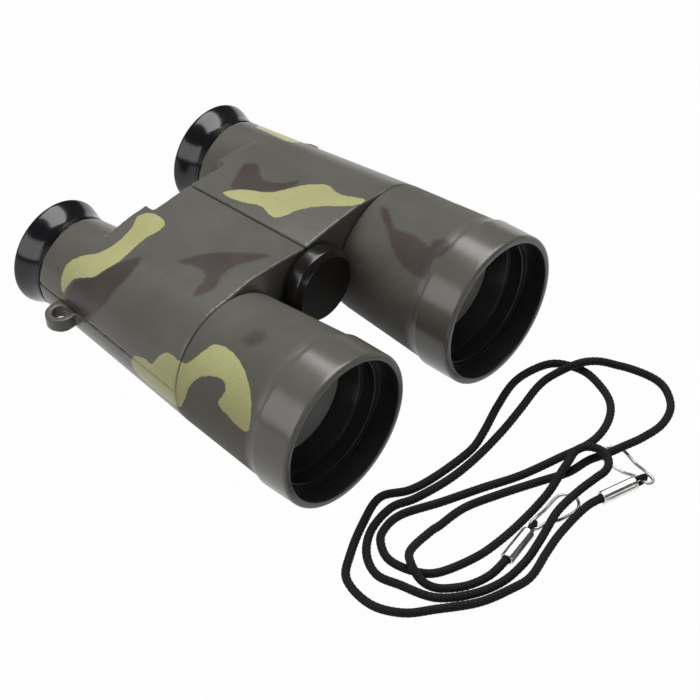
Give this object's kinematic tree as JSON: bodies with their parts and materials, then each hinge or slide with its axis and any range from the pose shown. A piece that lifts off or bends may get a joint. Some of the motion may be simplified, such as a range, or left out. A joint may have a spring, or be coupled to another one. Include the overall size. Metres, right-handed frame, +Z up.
{
  "type": "toy binoculars",
  "caption": "Toy binoculars with tapered camouflage tubes on a folding centre hinge, a centre knob, flared eyecups, strap lugs and an unhooked neck cord with wire clips.",
  "frame": {"origin": "on the table, under the middle of the binoculars (the cord left out)", "axes": "-Y is the way the objectives look, +Y towards the eyecups, +X to the user's left tube, +Z up; the tubes lie tilted down to the rear, on the collars' edges and the eyecups' lips"},
  "size_m": [0.1153, 0.1719, 0.0453],
  "materials": {
    "olive_plastic": "satin moulded plastic with a printed blotch pattern",
    "black_plastic": "glossy black moulded plastic",
    "clear_lens": "clear moulded plastic lens",
    "steel": "plain steel",
    "nickel": "bright nickel plate",
    "cord": "black braided cord"
  },
  "bodies": {
    "right_half": {"right_upper_shell": "olive_plastic", "right_lower_shell": "olive_plastic", "right_objective_barrel": "olive_plastic", "right_objective_lens": "clear_lens", "right_lens_retainer": "black_plastic", "right_eyecup": "black_plastic", "right_eye_lens": "clear_lens", "right_eye_lens_ring": "black_plastic", "right_shell_screws": "steel", "knob_washer": "steel", "neck_cord": "cord", "ferrule_a": "nickel", "ferrule_b": "nickel", "end_loop_a": "cord", "end_loop_b": "cord", "wire_clip_a": "steel", "wire_clip_b": "steel"},
    "left_half": {"left_upper_shell": "olive_plastic", "left_lower_shell": "olive_plastic", "left_objective_barrel": "olive_plastic", "left_objective_lens": "clear_lens", "left_lens_retainer": "black_plastic", "left_eyecup": "black_plastic", "left_eye_lens": "clear_lens", "left_eye_lens_ring": "black_plastic", "left_shell_screws": "steel"},
    "knob": {"centre_knob": "black_plastic", "hinge_axle": "steel", "axle_cap": "black_plastic"}
  },
  "joints": [
    {"name": "fold", "type": "hinge", "parent": "right_half", "child": "left_half", "pos_m": [0, 0.00918, 0.02737], "axis": [0, 0.9979, -0.0643], "range_deg": [0, 40]},
    {"name": "knob_turn", "type": "hinge", "parent": "right_half", "child": "knob", "pos_m": [0, -0.01767, 0.0291], "axis": [0, 0.9979, -0.0643], "continuous": true}
  ]
}
